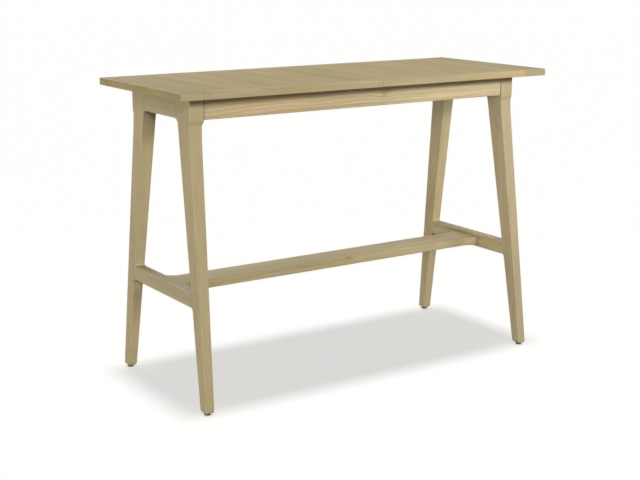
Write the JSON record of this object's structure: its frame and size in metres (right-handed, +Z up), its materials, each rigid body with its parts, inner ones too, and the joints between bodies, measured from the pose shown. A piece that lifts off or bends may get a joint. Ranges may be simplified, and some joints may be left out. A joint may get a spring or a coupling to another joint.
{
  "type": "bar table",
  "caption": "Bar-height wooden table: framed plank top on splayed tapered legs, with deep aprons, end stretchers, a flared full-length footrest and screw-adjustable feet.",
  "frame": {"origin": "on the floor under the middle of the table, level with the undersides of the levelling pads", "axes": "+X along the table to the right, +Y to the back, +Z up"},
  "size_m": [1.524, 0.6286, 1.064],
  "materials": {
    "board_wood": "matte, bleached, grain across the table",
    "end_rail_wood": "matte, bleached, grain across the table",
    "edge_rail_wood": "matte, bleached, grain along the table",
    "long_rail_wood": "matte, bleached, grain along the table",
    "end_frame_wood": "matte, bleached, grain across the table",
    "leg_wood": "matte, bleached, grain along the leg",
    "hidden_wood": "raw sawn",
    "steel": "zinc plated",
    "brass": "plain",
    "pad_plastic": "black, fine grained"
  },
  "bodies": {
    "table": {"apron_back": "long_rail_wood", "apron_front": "long_rail_wood", "apron_left": "end_frame_wood", "apron_right": "end_frame_wood", "brace_screws": "steel", "clip_screws": "steel", "corner_brace_back_left": "hidden_wood", "corner_brace_back_right": "hidden_wood", "corner_brace_front_left": "hidden_wood", "corner_brace_front_right": "hidden_wood", "cross_rail": "hidden_wood", "footrest": "long_rail_wood", "hanger_bolts": "steel", "leg_back_left": "leg_wood", "leg_back_right": "leg_wood", "leg_front_left": "leg_wood", "leg_front_right": "leg_wood", "nuts": "steel", "stretcher_left": "end_frame_wood", "stretcher_right": "end_frame_wood", "threaded_inserts": "brass", "top_back_rail_left": "edge_rail_wood", "top_back_rail_right": "edge_rail_wood", "top_board_01": "board_wood", "top_board_02": "board_wood", "top_board_03": "board_wood", "top_board_04": "board_wood", "top_board_05": "board_wood", "top_board_06": "board_wood", "top_board_07": "board_wood", "top_board_08": "board_wood", "top_board_09": "board_wood", "top_board_10": "board_wood", "top_board_11": "board_wood", "top_board_12": "board_wood", "top_clips": "steel", "top_end_rail_left": "end_rail_wood", "top_end_rail_right": "end_rail_wood", "top_front_rail_left": "edge_rail_wood", "top_front_rail_right": "edge_rail_wood", "washers": "steel"},
    "leveller_back_left": {"leveller_pad_back_left": "pad_plastic", "leveller_stem_back_left": "steel"},
    "leveller_back_right": {"leveller_pad_back_right": "pad_plastic", "leveller_stem_back_right": "steel"},
    "leveller_front_left": {"leveller_pad_front_left": "pad_plastic", "leveller_stem_front_left": "steel"},
    "leveller_front_right": {"leveller_pad_front_right": "pad_plastic", "leveller_stem_front_right": "steel"}
  },
  "joints": [
    {"name": "leveller_back_left_slide", "type": "slide", "parent": "table", "child": "leveller_back_left", "axis": [0, 0, -1], "range_m": [0, 0.012]},
    {"name": "leveller_back_right_slide", "type": "slide", "parent": "table", "child": "leveller_back_right", "axis": [0, 0, -1], "range_m": [0, 0.012]},
    {"name": "leveller_front_left_slide", "type": "slide", "parent": "table", "child": "leveller_front_left", "axis": [0, 0, -1], "range_m": [0, 0.012]},
    {"name": "leveller_front_right_slide", "type": "slide", "parent": "table", "child": "leveller_front_right", "axis": [0, 0, -1], "range_m": [0, 0.012]}
  ]
}
